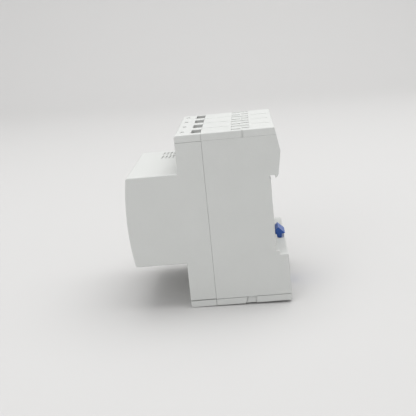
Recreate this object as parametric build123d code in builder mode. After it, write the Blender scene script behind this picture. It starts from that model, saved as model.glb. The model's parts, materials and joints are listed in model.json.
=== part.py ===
"""Four-pole DIN rail contactor: a 72 mm wide modular housing with its clamps, contacts and magnet.

Frame, in millimetres: +Z is up on the wall, -Y is the front with the nose, +Y points into the rail.
The origin is on the rail seat, at mid-width and on the rail's centreline.
"""

import math
import os

from build123d import *

# ------------------------------------------------------------------ walls and width
pole_count = 4
pole_pitch = 18.0
side_wall = 1.7
shell = 1.8  # front, rear and nose walls
end_wall = 1.6  # top and bottom walls, under the end strips
edge_round = 0.5
corner_round = 1.2
joint_gap = 0.1  # visible line between cover and base

width = pole_count * pole_pitch
half_width = width / 2
inner_half_width = half_width - side_wall
poles = [(n - (pole_count - 1) / 2) * pole_pitch for n in range(pole_count)]
seams = [(n - pole_count / 2) * pole_pitch for n in range(1, pole_count)]

# ------------------------------------------------------------------ magnet, from the rear wall forward
rear_inner = -shell
pad_thickness = 1.2
yoke = 5.0
leg_length = 9.0
air_gap = 0.1
core_half_stack = 5.5
leg_half = 5.0
outer_leg = 5.0
leg_window = 7.0
core_fit = 0.15
contact_gap = 3.0
overtravel = 1.5
carrier_travel = contact_gap + overtravel
armature_leg = 4.0
armature_yoke = 4.3
pin_radius = 1.3
pin_fit = 0.05

core_half = leg_half + leg_window + outer_leg
core_rear = rear_inner - pad_thickness
core_yoke_face = core_rear - yoke
core_face = core_yoke_face - leg_length
armature_face = core_face - air_gap - carrier_travel
armature_yoke_face = armature_face - armature_leg
armature_front = armature_yoke_face - armature_yoke
pin_y = (armature_front + armature_yoke_face) / 2

ring_wire = 0.9
ring_depth = 1.2
ring_fit = 0.05
ring_x = (core_half - outer_leg + 1.0, core_half - 1.6)

# ------------------------------------------------------------------ contacts and clamps, forward again
deck_thickness = 1.6
plate_seat = 0.1
plate_thickness = 1.6
plate_half = 4.5
plate_inner = 8.4
tip_height = 11.0
tip_radius = 2.4
tip_thickness = 1.2
bridge_tip = 1.0
bridge_thickness = 1.4
bridge_half_width = 3.2
bridge_reach = 13.2
wire_gap = 4.65
saddle_thickness = 1.1
saddle_gap = 0.05
saddle_half_length = 3.9
screw_radius = 3.0
screw_length = 6.5
screw_clearance = 0.1
screw_depth = 0.4  # of the screw's head below the shoulder
clamp_wall = 1.0
clamp_length = 9.0  # along the wire
clamp_top_block = 3.0
clamp_floor = 1.4
saddle_rise = 1.25  # from the saddle to the threaded block
entry_width = 11.0
access_clearance = 0.7
end_clearance = 0.5

deck_front = armature_front
deck_rear = deck_front + deck_thickness
plate_front = deck_front - plate_seat - plate_thickness
fixed_tip_front = plate_front - tip_thickness
bridge_rear = fixed_tip_front - contact_gap - bridge_tip
bridge_front = bridge_rear - bridge_thickness
entry_front = plate_front - wire_gap
saddle_front = entry_front - saddle_thickness
screw_front = saddle_front - saddle_gap - screw_length
clamp_front = saddle_front - saddle_rise - clamp_top_block
clamp_rear = plate_front + plate_thickness + 0.05 + clamp_floor
clamp_half = entry_width / 2 + clamp_wall
access_radius = screw_radius + access_clearance

# ------------------------------------------------------------------ envelope
shoulder_face = screw_front - screw_depth
nose_depth = 27.1  # the nose's reach past the shoulders
nose_sagitta = 1.8  # rise of its curved front
nose_height = 45.0
parting = plate_front + joint_gap
top_end = 41.0
bottom_end = -45.6
strip_thickness = 3.6
strip_line = 0.05  # between the top strips and the housing
strip_line_below = 0.25

nose_crown = shoulder_face - nose_depth
nose_edge = nose_crown + nose_sagitta
nose_half = nose_height / 2
nose_inner = nose_half - shell
nose_radius = (nose_half**2 + nose_sagitta**2) / (2 * nose_sagitta)
nose_centre = nose_crown + nose_radius
shoulder_inner = shoulder_face + shell
cover_top = top_end - strip_thickness
cover_bottom = bottom_end + strip_thickness
inner_top = cover_top - end_wall
inner_bottom = cover_bottom + end_wall
line_axis = inner_top - end_clearance - clamp_length / 2
load_axis = inner_bottom + end_clearance + clamp_length / 2
cover_rear = parting - joint_gap / 2
base_front = parting + joint_gap / 2

# ------------------------------------------------------------------ rail seat and foot
rail_width = 35.0
rail_clearance = 0.5
hook_drop = 1.2  # of the lip below the rail's edge
hook_gap = 2.3  # room for the rail's flange behind the lip
hook_back = 3.9
bulge_face = 5.6
bulge_rise = 11.2
bulge_round = 3.0
rear_top_face = 3.6
foot_face = 5.8
ledge_depth = 1.5
ledge_step = 1.8
seat_relief = 0.3  # the seat stands this far proud of the wall
seat_margin = 1.8

hook_edge = rail_width / 2 + rail_clearance
hook_lip = hook_edge - hook_drop
bulge_height = hook_edge + bulge_rise
seat_high = hook_edge - seat_margin
seat_low = -seat_high
ledge_height = -hook_edge - 1.7
foot_top = ledge_height - ledge_step

# ------------------------------------------------------------------ rail latch
latch_travel = 4.0
latch_catch = 1.4  # how far the catch covers the rail's lower flange
latch_tip_y = 2.5
latch_ramp = 3.45  # the ramp's reach behind the tip
latch_drop = 3.4  # the ramp's fall from the tip
latch_lead = 1.7  # the fall of the flank in front of the tip
latch_nose = 0.9
latch_neck = 4.0
latch_head_half = 5.4
latch_body_half = 6.8
latch_front, latch_rear = 2.4, 4.6
latch_fit = 0.2
latch_tab = 1.2  # of the pull tab below the housing
latch_bar = 1.2
latch_bar_half = 1.9
spring_room = 3.6  # of the housing's floor below the latch spring
latch_spring_radius = 1.0
latch_wire = 0.25

latch_tip_z = -rail_width / 2 + latch_catch
latch_tail = bottom_end - latch_tab
latch_shoulder = foot_top - 6.1
spring_floor = cover_bottom + spring_room
channel_half = latch_body_half + latch_fit
head_half = latch_head_half + latch_fit

# ------------------------------------------------------------------ contact deck
deck_fit = 0.25
barrier = 1.4
barrier_inner = 7.4
post_z = 12.0
post_radius = 3.2
head_seat = 0.4  # of the post's foot behind the screw's head
shank_radius = 1.5
screw_hole = 1.7
pilot_radius = 1.25
head_radius = 2.8
head_height = 1.55
head_sink = 2.2
head_recess = 3.1
boss_gap = 0.1
slot_fit = 0.6
carrier_slot = 7.4
cup_radius = 3.6
cup_wall = 0.9
cup_depth = 11.9

post_x = seams[-1]
post_nose = bridge_front - 7.8
cup_x = core_half + 0.9 + cup_radius + cup_wall
cup_floor = deck_front + cup_depth
post_points = [(x, z) for x in (-post_x, post_x) for z in (-post_z, post_z)]

# ------------------------------------------------------------------ bobbin
bobbin_wall = 0.8
bobbin_flange = 1.0
bobbin_fit = 0.3
bobbin_reach = 3.5  # past the fixed core's face
flange_clearance = 0.5  # of the flanges from the core's outer legs
winding_margin = 0.3  # of the winding inside the flanges
winding_overhang = 1.3  # of the winding's ends past its sides
winding_round = 3.0
flange_lip = 2.0

bobbin_front = core_face - bobbin_reach
bobbin_rear = core_yoke_face - 0.2
tube_hole_x = leg_half + bobbin_fit
tube_hole_z = core_half_stack + bobbin_fit
tube_x = tube_hole_x + bobbin_wall
tube_z = tube_hole_z + bobbin_wall
flange_half_x = leg_half + leg_window - flange_clearance
coil_half_x = flange_half_x - winding_margin
winding_height = coil_half_x - tube_x
coil_half_z = tube_z + winding_height + winding_overhang
flange_half_z = coil_half_z + flange_lip

# ------------------------------------------------------------------ carrier
carrier_margin = 1.3
carrier_half_z = 4.6
bar_clearance = 0.4  # of the closed carrier from the deck
window_fit = 0.3
cheek = 1.6
front_bar = 2.0
cheek_gap = 0.15
cheek_thick = 1.3
contact_spring_length = 8.8
contact_spring_radius = 2.6  # to the wire's centre
contact_wire = 0.35
contact_turns = 5
return_radius = 2.7
return_wire = 0.35
return_turns = 8
seat_gap = 0.05
stem_half = 1.2
stem_half_z = 1.6

carrier_half = inner_half_width - carrier_margin
rail_bar_rear = deck_front - carrier_travel - bar_clearance
rail_bar_front = bridge_rear + seat_gap
window_half = bridge_half_width + window_fit
spring_seat = bridge_front - 2 * seat_gap - contact_spring_length
carrier_front = spring_seat - front_bar
tail_rear = armature_front - cheek_gap

# ------------------------------------------------------------------ coil terminals
coil_poles = {"a1": poles[0], "a2": poles[1]}
coil_screw_radius = 1.75
coil_screw_length = 4.6
coil_screw_depth = 2.4  # behind the crown of the nose
coil_block_depth = 2.6
coil_clamp_half = 4.2
coil_clamp_length = 7.0
coil_top_block = 2.0
coil_wall = 0.8
coil_saddle = 0.8
coil_wire_gap = 4.7
coil_plate = 0.8
coil_floor = 0.9
coil_access_clearance = 0.85
lead_thickness = 0.8
lead_height = 2.8
lead_clearance = 0.5

coil_access = coil_screw_radius + coil_access_clearance
coil_axis = -nose_inner + 1.2 + coil_clamp_length / 2
coil_screw_front = nose_crown + coil_screw_depth
coil_clamp_front = coil_screw_front + coil_block_depth
coil_entry_front = coil_screw_front + coil_screw_length + saddle_gap + coil_saddle
coil_plate_front = coil_entry_front + coil_wire_gap
coil_clamp_rear = coil_plate_front + coil_plate + 0.05 + coil_floor
lead_offset = (pole_pitch / 2 - plate_half + barrier / 2) / 2
lead_runs = {"a1": seams[0] - lead_offset, "a2": seams[0] + lead_offset}
lead_ends = {"a1": bobbin_rear - 0.6, "a2": bobbin_front + 0.4}
lead_low = -nose_inner + lead_clearance
lead_high = lead_low + lead_height

# ------------------------------------------------------------------ label, window and louvres
label_thickness = 0.3
label_margin = 5.0
label_low, label_high = -11.5, 19.4
label_fit = 0.15
window_half_x, window_half_z = 4.5, 3.4
window_lip = 0.8
window_clearance = 0.1
flag_half_x, flag_half_z = 3.4, 2.4
flag_length = 5.0
vent_count = 4
vent_pitch = 2.0
vent_width = 1.1
vent_length = 8.2
vent_bar = 2.6  # between the two rows
vent_start = 5.5  # from the side
vent_back = 5.6  # from the shoulder to the last groove
vent_depth = 0.5

label_half_x = half_width - label_margin
flag_front = nose_crown + shell + 1.1
flag_rear = flag_front + flag_length

# ------------------------------------------------------------------ end strips
strip_split = -11.7
strip_gap = 0.05
side_groove = 0.8  # where two top strips meet, in the sides only
parting_groove = 0.3  # the same in the bottom strips, at the parting
side_groove_depth = 0.3
slope_start, slope_end = -15.9, -17.1
tongue_inset = 0.5  # of the bottom tongue, from the sides
tongue_root = 0.3  # the groove beside the tongue's root
tongue_rise = 0.3
tongue_gap = 0.3
groove = 0.6
groove_depth = 0.6
tray_depth = 0.35
pocket_front, pocket_rear = -17.0, -8.2
pocket_half = 7.4
step_y = -12.4
slot_half = 1.1
slot_shift = 2.0
slot_depth = 2.8
notch_half = 2.8
notch_front = 2.7  # behind the shoulder
notch_width = 1.7
notch_depth = 0.4

os.makedirs("parts", exist_ok=True)


def block(x, y, z, mode=Mode.ADD):
    """A box between two values of each coordinate, in the active part."""
    low = [min(pair) for pair in (x, y, z)]
    high = [max(pair) for pair in (x, y, z)]
    middle = [(a + b) / 2 for a, b in zip(low, high)]
    with Locations(tuple(middle)):
        Box(high[0] - low[0], high[1] - low[1], high[2] - low[2], mode=mode)


def rod(x, z, radius, y, mode=Mode.ADD):
    """A cylinder along Y, in the active part."""
    with Locations((x, (y[0] + y[1]) / 2, z)):
        Cylinder(radius, abs(y[1] - y[0]), rotation=(90, 0, 0), mode=mode)


def upright(x, y, radius, z, mode=Mode.ADD):
    """A cylinder along Z, in the active part."""
    with Locations((x, y, (z[0] + z[1]) / 2)):
        Cylinder(radius, z[1] - z[0], mode=mode)


def across(points, x, mode=Mode.ADD):
    """A straight-sided Y-Z outline drawn through from one x to another, in the active part."""
    with BuildSketch(Plane.YZ.offset(x[0])) as outline:
        with BuildLine():
            Polyline(*points, close=True)
        make_face()
    extrude(outline.sketch, amount=x[1] - x[0], mode=mode)


def wound_wire(start, axis, radius, wire, length, turns):
    """A coil of round wire from a start point along an axis, in the active part."""
    rise = length - 2 * wire
    centre = Vector(*start) + Vector(*axis) * wire
    with BuildLine() as path:
        Helix(pitch=rise / turns, height=rise, radius=radius, center=centre, direction=axis)
    with BuildSketch(Plane(origin=path.line @ 0, z_dir=path.line % 0)) as section:
        Circle(wire)
    sweep(section.sketch, path=path.line, is_frenet=True)


def near(edges, axis, value):
    """The edges whose middle lies at one value along an axis."""
    return edges.filter_by_position(axis, value - 0.05, value + 0.05)


def nose_face(z, inset=0.0):
    """The y of the curved nose front at a height, moved in by an inset."""
    return nose_centre - math.sqrt((nose_radius - inset) ** 2 - z**2)


def nose_block(half_x, half_z, inset, rear, mode=Mode.ADD):
    """The nose's solid, or its hollow when moved in by an inset."""
    front = nose_face(half_z, inset)
    with BuildSketch(Plane.YZ.offset(-half_x)) as outline:
        with BuildLine():
            ThreePointArc((front, half_z), (nose_crown + inset, 0), (front, -half_z))
            Polyline((front, -half_z), (rear, -half_z), (rear, half_z), (front, half_z))
        make_face()
    extrude(outline.sketch, amount=2 * half_x, mode=mode)


def label_sheet(margin, out, mode=Mode.ADD):
    """A sheet curved like the nose front, from the label's bed to a distance outside the nose."""
    low, high = label_low + margin, label_high - margin
    middle = (low + high) / 2
    bed = label_thickness
    with BuildSketch(Plane.YZ.offset(-label_half_x + margin)) as outline:
        with BuildLine():
            ThreePointArc(
                (nose_face(high, bed), high), (nose_face(middle, bed), middle), (nose_face(low, bed), low)
            )
            Line((nose_face(low, bed), low), (nose_face(low, -out), low))
            ThreePointArc(
                (nose_face(low, -out), low), (nose_face(middle, -out), middle), (nose_face(high, -out), high)
            )
            Line((nose_face(high, -out), high), (nose_face(high, bed), high))
        make_face()
    extrude(outline.sketch, amount=2 * (label_half_x - margin), mode=mode)


# ------------------------------------------------------------------ base
def rear_face(z):
    """The rear face between the bulge behind the hook and the top."""
    share = (top_end - z) / (top_end - bulge_height)
    return rear_top_face + share * (bulge_face - rear_top_face)


def base_housing():
    with BuildPart() as base:
        across(
            [
                (base_front, cover_top),
                (rear_face(cover_top), cover_top),
                (bulge_face, bulge_height),
                (hook_back, hook_edge + 0.3),
                (hook_back - 0.9, hook_lip),
                (hook_gap, hook_lip),
                (hook_gap, hook_edge),
                (-seat_relief, hook_edge),
                (-seat_relief, seat_high),
                (0, seat_high),
                (0, seat_low),
                (-seat_relief, seat_low),
                (-seat_relief, ledge_height),
                (ledge_depth, ledge_height),
                (ledge_depth, foot_top),
                (foot_face, foot_top),
                (foot_face, cover_bottom),
                (base_front, cover_bottom),
            ],
            (-half_width, half_width),
        )
        fillet(near(base.edges().filter_by(Axis.X), Axis.Y, bulge_face), bulge_round)
        foot_edges = near(base.edges().filter_by(Axis.X), Axis.Y, foot_face)
        fillet(near(foot_edges, Axis.Z, foot_top), corner_round / 2)
        side_edges = base.faces().filter_by(Axis.X).edges().filter_by(Axis.Z)
        fillet(near(side_edges, Axis.Y, foot_face), edge_round)
        # Main chamber, and the hollows behind it in the head and the foot.
        block((-inner_half_width, inner_half_width), (base_front - 1, rear_inner), (inner_bottom, inner_top),
              Mode.SUBTRACT)
        across(
            [
                (rear_inner - 1, hook_edge + shell),
                (hook_back - shell, hook_edge + shell),
                (bulge_face - shell, bulge_height),
                (rear_face(inner_top) - shell, inner_top),
                (rear_inner - 1, inner_top),
            ],
            (-inner_half_width, inner_half_width),
            Mode.SUBTRACT,
        )
        for side in (-1, 1):
            block((side * (channel_half + 2), side * inner_half_width), (rear_inner - 1, foot_face - shell),
                  (inner_bottom, foot_top - shell), Mode.SUBTRACT)
        # Latch guide: a channel behind two lips, a slot for the catch and a pocket for the spring.
        pocket_half_x = latch_bar_half + 0.3
        pocket_front = latch_front - 4.0
        block((-pocket_half_x - 1.4, pocket_half_x + 1.4), (pocket_front - 1.4, rear_inner + 0.5),
              (spring_floor - 1.5, latch_shoulder + latch_bar + 1.6))
        block((-channel_half, channel_half), (latch_front - latch_fit, latch_rear + latch_fit),
              (cover_bottom - 1, foot_top + 1), Mode.SUBTRACT)
        block((-head_half, head_half), (latch_nose - latch_fit, foot_face + 1),
              (cover_bottom - 1, ledge_height + 0.5), Mode.SUBTRACT)
        block((-pocket_half_x, pocket_half_x), (pocket_front, latch_front),
              (spring_floor, latch_shoulder + latch_bar + 0.1), Mode.SUBTRACT)
        # Posts under the contact deck, with the rear screws' holes and head recesses.
        for x, z in post_points:
            rod(x, z, post_radius, (deck_rear, rear_inner + 0.5))
            rod(x, z, head_recess + 1.2, (-head_sink - 2.4, rear_inner + 0.5))
            rod(x, z, head_recess, (-head_sink, 1), Mode.SUBTRACT)
            rod(x, z, screw_hole, (deck_rear - 1, 1), Mode.SUBTRACT)
        # Frame that locates the fixed core.
        frame_x, frame_z = core_half + core_fit, core_half_stack + core_fit
        for side in (-1, 1):
            block((side * frame_x, side * (frame_x + 1.2)), (core_yoke_face + 0.6, rear_inner + 0.5),
                  (-frame_z - 1.2, frame_z + 1.2))
            block((-frame_x, frame_x), (core_yoke_face + 0.6, rear_inner + 0.5),
                  (side * frame_z, side * (frame_z + 1.2)))
    base.part.label = "base_housing"
    export_step(base.part, "parts/base_housing.step")


# ------------------------------------------------------------------ front cover
def vents(side):
    """Two rows of shallow louvre grooves in the nose's top or bottom wall."""
    for n in range(vent_count):
        y = shoulder_face - vent_back - n * vent_pitch
        for row in range(2):
            start = -side * (half_width - vent_start - row * (vent_length + vent_bar))
            block((start, start + side * vent_length), (y - vent_width / 2, y + vent_width / 2),
                  (side * (nose_half - vent_depth), side * (nose_half + 1)), Mode.SUBTRACT)


def front_cover():
    with BuildPart() as cover:
        nose_block(half_width, nose_half, 0.0, cover_rear)
        block((-half_width, half_width), (shoulder_face, cover_rear), (cover_bottom, cover_top))
        fillet(near(cover.edges().filter_by(Axis.X), Axis.Y, nose_edge), corner_round)
        side_edges = cover.faces().filter_by(Axis.X).edges()
        fillet(side_edges.filter_by_position(Axis.Y, nose_crown - 1, cover_rear - 1), edge_round)
        # Hollow nose and shoulders.
        nose_block(inner_half_width, nose_inner, shell, cover_rear + 1, Mode.SUBTRACT)
        block((-inner_half_width, inner_half_width), (shoulder_inner, cover_rear + 1),
              (inner_bottom, inner_top), Mode.SUBTRACT)
        # Screw access in the shoulders, wire entries in the end walls.
        for x in poles:
            for z in (line_axis, load_axis):
                rod(x, z, access_radius, (shoulder_face - 1, shoulder_inner + 1), Mode.SUBTRACT)
            for z in ((inner_top - 1, cover_top + 1), (cover_bottom - 1, inner_bottom + 1)):
                block((x - entry_width / 2, x + entry_width / 2), (entry_front, cover_rear + 1), z,
                      Mode.SUBTRACT)
        # Bosses for the rear screws.
        for x, z in post_points:
            rod(x, z, post_radius, (nose_face(z, shell) - 0.5, post_nose - boss_gap))
            rod(x, z, pilot_radius, (post_nose - 9, post_nose + 1), Mode.SUBTRACT)
        # Window, coil screws and coil wire entries.
        block((-window_half_x, window_half_x), (nose_crown - 1, nose_crown + shell + 1),
              (-window_half_z, window_half_z), Mode.SUBTRACT)
        for x in coil_poles.values():
            inner = coil_clamp_half - coil_wall
            rod(x, coil_axis, coil_access, (nose_crown - 1, nose_crown + shell + 1.5), Mode.SUBTRACT)
            block((x - inner, x + inner), (coil_entry_front, coil_plate_front), (-nose_half - 1, -nose_inner + 1),
                  Mode.SUBTRACT)
        for side in (-1, 1):
            vents(side)
        label_sheet(0.0, 1.0, Mode.SUBTRACT)
    cover.part.label = "front_cover"
    export_step(cover.part, "parts/front_cover.step")


def label_plate():
    with BuildPart() as label:
        label_sheet(label_fit, 0.0)
        block((-window_half_x, window_half_x), (nose_crown - 1, nose_edge), (-window_half_z, window_half_z),
              Mode.SUBTRACT)
    label.part.label = "label_plate"
    export_step(label.part, "parts/label_plate.step")


def indicator_window():
    half_x, half_z = window_half_x - window_clearance, window_half_z - window_clearance
    flange = nose_crown + shell + 0.1
    with BuildPart() as window:
        block((-half_x, half_x), (nose_crown + 0.1, flange), (-half_z, half_z))
        fillet(window.faces().sort_by(Axis.Y)[0].edges(), 0.3)
        block((-half_x - window_lip, half_x + window_lip), (flange, flange + 0.6),
              (-half_z - window_lip, half_z + window_lip))
    window.part.label = "indicator_window"
    export_step(window.part, "parts/indicator_window.step")


# ------------------------------------------------------------------ end strips
def top_pockets(y_tray, shift, y_slot):
    """For each pole, a shallow tray and one leg of the stepped slot in the top face."""
    for x in poles:
        block((x - pocket_half, x + pocket_half), y_tray, (top_end - tray_depth, top_end + 1), Mode.SUBTRACT)
        block((x + shift - slot_half, x + shift + slot_half), y_slot, (top_end - slot_depth, top_end + 1),
              Mode.SUBTRACT)


def pole_grooves(y, outer, inward):
    """Fine grooves between the poles, in an end face."""
    for x in seams:
        block((x - groove / 2, x + groove / 2), y, (outer - inward, outer + inward * groove_depth),
              Mode.SUBTRACT)


def entry_openings(z, outer, inward):
    """The wire entries and the marker notches in a front end strip."""
    for x in poles:
        block((x - entry_width / 2, x + entry_width / 2), (entry_front, cover_rear + 1), (z[0] - 1, z[1] + 1),
              Mode.SUBTRACT)
        front = shoulder_face + notch_front
        block((x - notch_half, x + notch_half), (front, front + notch_width),
              (outer - inward, outer + inward * notch_depth), Mode.SUBTRACT)


def side_grooves(y, line, z):
    """A fine upright groove in both sides, where two end strips meet."""
    for side in (-1, 1):
        block((side * (half_width - side_groove_depth), side * (half_width + 1)),
              (y - line / 2, y + line / 2), z, Mode.SUBTRACT)


def top_entry_strip():
    with BuildPart() as strip:
        z = (cover_top + strip_line, top_end)
        block((-half_width, half_width), (shoulder_face, cover_rear), z)
        front_edge = strip.edges().filter_by(Axis.X).group_by(Axis.Z)[-1].sort_by(Axis.Y)[0]
        fillet(front_edge, corner_round)
        fillet(strip.faces().sort_by(Axis.Z)[-1].edges().filter_by(Axis.Y), edge_round)
        entry_openings(z, top_end, -1)
    strip.part.label = "top_entry_strip"
    export_step(strip.part, "parts/top_entry_strip.step")


def bottom_entry_strip():
    with BuildPart() as strip:
        z = (bottom_end, cover_bottom - strip_line_below)
        block((-half_width, half_width), (shoulder_face, cover_rear), z)
        front_edge = strip.edges().filter_by(Axis.X).group_by(Axis.Z)[0].sort_by(Axis.Y)[0]
        fillet(front_edge, corner_round)
        fillet(strip.faces().sort_by(Axis.Z)[0].edges().filter_by(Axis.Y), edge_round)
        entry_openings(z, bottom_end, 1)
        side_grooves(parting, parting_groove, (bottom_end - 1, cover_bottom))
    strip.part.label = "bottom_entry_strip"
    export_step(strip.part, "parts/bottom_entry_strip.step")


def top_middle_strip():
    rear = strip_split - strip_gap / 2
    with BuildPart() as strip:
        block((-half_width, half_width), (base_front, rear), (cover_top + strip_line, top_end))
        fillet(strip.faces().sort_by(Axis.Z)[-1].edges().filter_by(Axis.Y), edge_round)
        pole_grooves((base_front - 1, pocket_front - 0.4), top_end, -1)
        top_pockets((pocket_front, rear + 1), slot_shift, (pocket_front, step_y))
        side_grooves(strip_split, side_groove, (cover_top, top_end + 1))
    strip.part.label = "top_middle_strip"
    export_step(strip.part, "parts/top_middle_strip.step")


def bottom_middle_strip():
    inner = cover_bottom - strip_line_below
    with BuildPart() as strip:
        across(
            [(base_front, inner), (slope_start, inner), (slope_end, bottom_end), (base_front, bottom_end)],
            (-half_width, half_width),
        )
        fillet(strip.faces().sort_by(Axis.Z)[0].edges().filter_by(Axis.Y), edge_round)
        pole_grooves((base_front - 1, slope_end - 1.5), bottom_end, 1)
        side_grooves(parting, parting_groove, (bottom_end - 1, cover_bottom))
    strip.part.label = "bottom_middle_strip"
    export_step(strip.part, "parts/bottom_middle_strip.step")


def top_rear_strip():
    front = strip_split + strip_gap / 2
    inner = cover_top + strip_line
    with BuildPart() as strip:
        across([(front, inner), (rear_face(inner), inner), (rear_top_face, top_end), (front, top_end)],
               (-half_width, half_width))
        fillet(strip.edges().filter_by(Axis.X).group_by(Axis.Z)[-1].sort_by(Axis.Y)[-1], corner_round / 2)
        fillet(strip.faces().sort_by(Axis.Z)[-1].edges().filter_by(Axis.Y), edge_round)
        top_pockets((front - 1, pocket_rear), 0.0, (step_y, pocket_rear))
        pole_grooves((pocket_rear + 1.2, rear_top_face - 2), top_end, -1)
        side_grooves(strip_split, side_groove, (cover_top, top_end + 1))
    strip.part.label = "top_rear_strip"
    export_step(strip.part, "parts/top_rear_strip.step")


def bottom_rear_strip():
    with BuildPart() as strip:
        block((-half_width, half_width), (strip_split + strip_gap / 2, foot_face),
              (bottom_end, cover_bottom - strip_line_below))
        fillet(strip.edges().filter_by(Axis.X).group_by(Axis.Z)[0].sort_by(Axis.Y)[-1], corner_round / 2)
        fillet(strip.faces().sort_by(Axis.Z)[0].edges().filter_by(Axis.Y), edge_round)
        # A tongue set back from the sides reaches towards the middle strip's slope.
        inner = cover_bottom - strip_line_below
        across(
            [
                (strip_split + strip_gap, inner),
                (slope_start + tongue_gap, inner),
                (slope_end + tongue_gap, bottom_end + tongue_rise),
                (strip_split + strip_gap, bottom_end + tongue_rise),
            ],
            (-half_width + tongue_inset, half_width - tongue_inset),
        )
        for side in (-1, 1):
            block((side * (half_width - 2 * tongue_inset), side * (half_width + 1)),
                  (strip_split + strip_gap / 2 - tongue_root, strip_split + strip_gap / 2),
                  (bottom_end - 1, cover_bottom), Mode.SUBTRACT)
        block((-channel_half, channel_half), (latch_front - latch_fit, latch_rear + latch_fit),
              (bottom_end - 1, cover_bottom + 1), Mode.SUBTRACT)
        block((-head_half, head_half), (latch_front - latch_fit, foot_face + 1), (bottom_end - 1, cover_bottom + 1),
              Mode.SUBTRACT)
    strip.part.label = "bottom_rear_strip"
    export_step(strip.part, "parts/bottom_rear_strip.step")


# ------------------------------------------------------------------ rail latch
def rail_latch():
    with BuildPart() as latch:
        # The catch: a point behind the rail's flange, with a ramp facing the rear.
        across(
            [
                (latch_tip_y, latch_tip_z),
                (latch_tip_y + latch_ramp, latch_tip_z - latch_drop),
                (latch_neck, latch_tip_z - latch_drop - 0.3),
                (latch_neck, foot_top - 0.6),
                (latch_rear, foot_top - 1.2),
                (latch_rear, foot_top - 3.6),
                (latch_front, foot_top - 3.6),
                (latch_front, foot_top - 1.1),
                (latch_nose, foot_top - 0.8),
                (latch_nose, latch_tip_z - latch_lead),
            ],
            (-latch_head_half, latch_head_half),
        )
        block((-latch_body_half, latch_body_half), (latch_front, latch_rear),
              (latch_tail + 3.2, foot_top - 2.9))
        block((-latch_head_half, latch_head_half), (latch_front, latch_rear), (latch_tail, latch_tail + 3.4))
        # Cross-bar over the spring, and a slot for a screwdriver.
        block((-latch_bar_half, latch_bar_half), (latch_front - 3.7, latch_front + 0.2),
              (latch_shoulder, latch_shoulder + latch_bar))
        fillet(near(latch.edges().filter_by(Axis.Y), Axis.Z, latch_tail), 0.8)
        block((-2.0, 2.0), (latch_front - 1, latch_rear + 1), (latch_tail + 1.2, latch_tail + 2.4),
              Mode.SUBTRACT)
    latch.part.label = "rail_latch"
    export_step(latch.part, "parts/rail_latch.step")


def latch_spring():
    with BuildPart() as spring:
        wound_wire((0, latch_front - 2.2, spring_floor + 0.1), (0, 0, 1), latch_spring_radius, latch_wire,
                   latch_shoulder - spring_floor - 0.2, 7)
    spring.part.label = "latch_spring"
    export_step(spring.part, "parts/latch_spring.step")


# ------------------------------------------------------------------ power terminals
def clamp_boxes(axis_z, name):
    """The steel boxes of one end, each threaded for its screw."""
    z = (axis_z - clamp_length / 2, axis_z + clamp_length / 2)
    inner = clamp_half - clamp_wall
    with BuildPart() as boxes:
        for x in poles:
            block((x - clamp_half, x + clamp_half), (clamp_front, clamp_rear), z)
            block((x - inner, x + inner), (clamp_front + clamp_top_block, clamp_rear - clamp_floor),
                  (z[0] - 1, z[1] + 1), Mode.SUBTRACT)
            rod(x, axis_z, screw_radius + screw_clearance, (clamp_front - 1, clamp_front + clamp_top_block + 1),
                Mode.SUBTRACT)
        fillet(near(boxes.edges().filter_by(Axis.Z), Axis.Y, clamp_rear), 0.6)
    boxes.part.label = name
    export_step(boxes.part, f"parts/{name}.step")


def clamp_screw(x, z, radius, front, length, name):
    """A headless clamp screw with a combined cross and slot drive."""
    slot = radius * 0.13
    with BuildPart() as screw:
        rod(x, z, radius, (front, front + length))
        chamfer(screw.edges().filter_by(GeomType.CIRCLE), 0.3)
        block((x - radius * 0.85, x + radius * 0.85), (front - 1, front + 0.35 * radius), (z - slot, z + slot),
              Mode.SUBTRACT)
        block((x - slot, x + slot), (front - 1, front + 0.6 * radius), (z - radius * 0.55, z + radius * 0.55),
              Mode.SUBTRACT)
    screw.part.label = name
    export_step(screw.part, f"parts/{name}.step")


def saddle_plate(x, name):
    """The pressure plate between a power screw and the wire, grooved to grip it."""
    half = entry_width / 2 - 0.2
    z = line_axis if name.startswith("line") else load_axis
    with BuildPart() as saddle:
        block((x - half, x + half), (saddle_front, entry_front), (z - saddle_half_length, z + saddle_half_length))
        fillet(saddle.edges().filter_by(Axis.Y), 0.8)
        for step in (-2.0, 0.0, 2.0):
            block((x - half - 1, x + half + 1), (entry_front - 0.3, entry_front + 1),
                  (z + step - 0.35, z + step + 0.35), Mode.SUBTRACT)
    saddle.part.label = name
    export_step(saddle.part, f"parts/{name}.step")


def fixed_contacts(up, name):
    """The copper plates of one end with their silver tips."""
    end = inner_top - 0.4 if up > 0 else inner_bottom + 0.4
    with BuildPart() as plates:
        for x in poles:
            block((x - plate_half, x + plate_half), (plate_front, plate_front + plate_thickness),
                  (up * plate_inner, end))
        fillet(plates.edges().filter_by(Axis.Y), 0.8)
        for x in poles:
            rod(x, up * tip_height, tip_radius, (fixed_tip_front, plate_front + 0.05))
    plates.part.label = name
    export_step(plates.part, f"parts/{name}.step")


# ------------------------------------------------------------------ contact deck
def barrier_wall(x, end):
    """A wall between two poles, from the deck into the nose and the shoulder."""
    up = 1 if end > 0 else -1
    nose = up * (nose_inner - deck_fit)
    shoulder = shoulder_inner + deck_fit
    across(
        [
            (deck_front + 0.1, up * barrier_inner),
            (post_nose, up * barrier_inner),
            (post_nose, nose),
            (shoulder, nose),
            (shoulder, end),
            (deck_front + 0.1, end),
        ],
        (x - barrier / 2, x + barrier / 2),
    )


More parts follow.
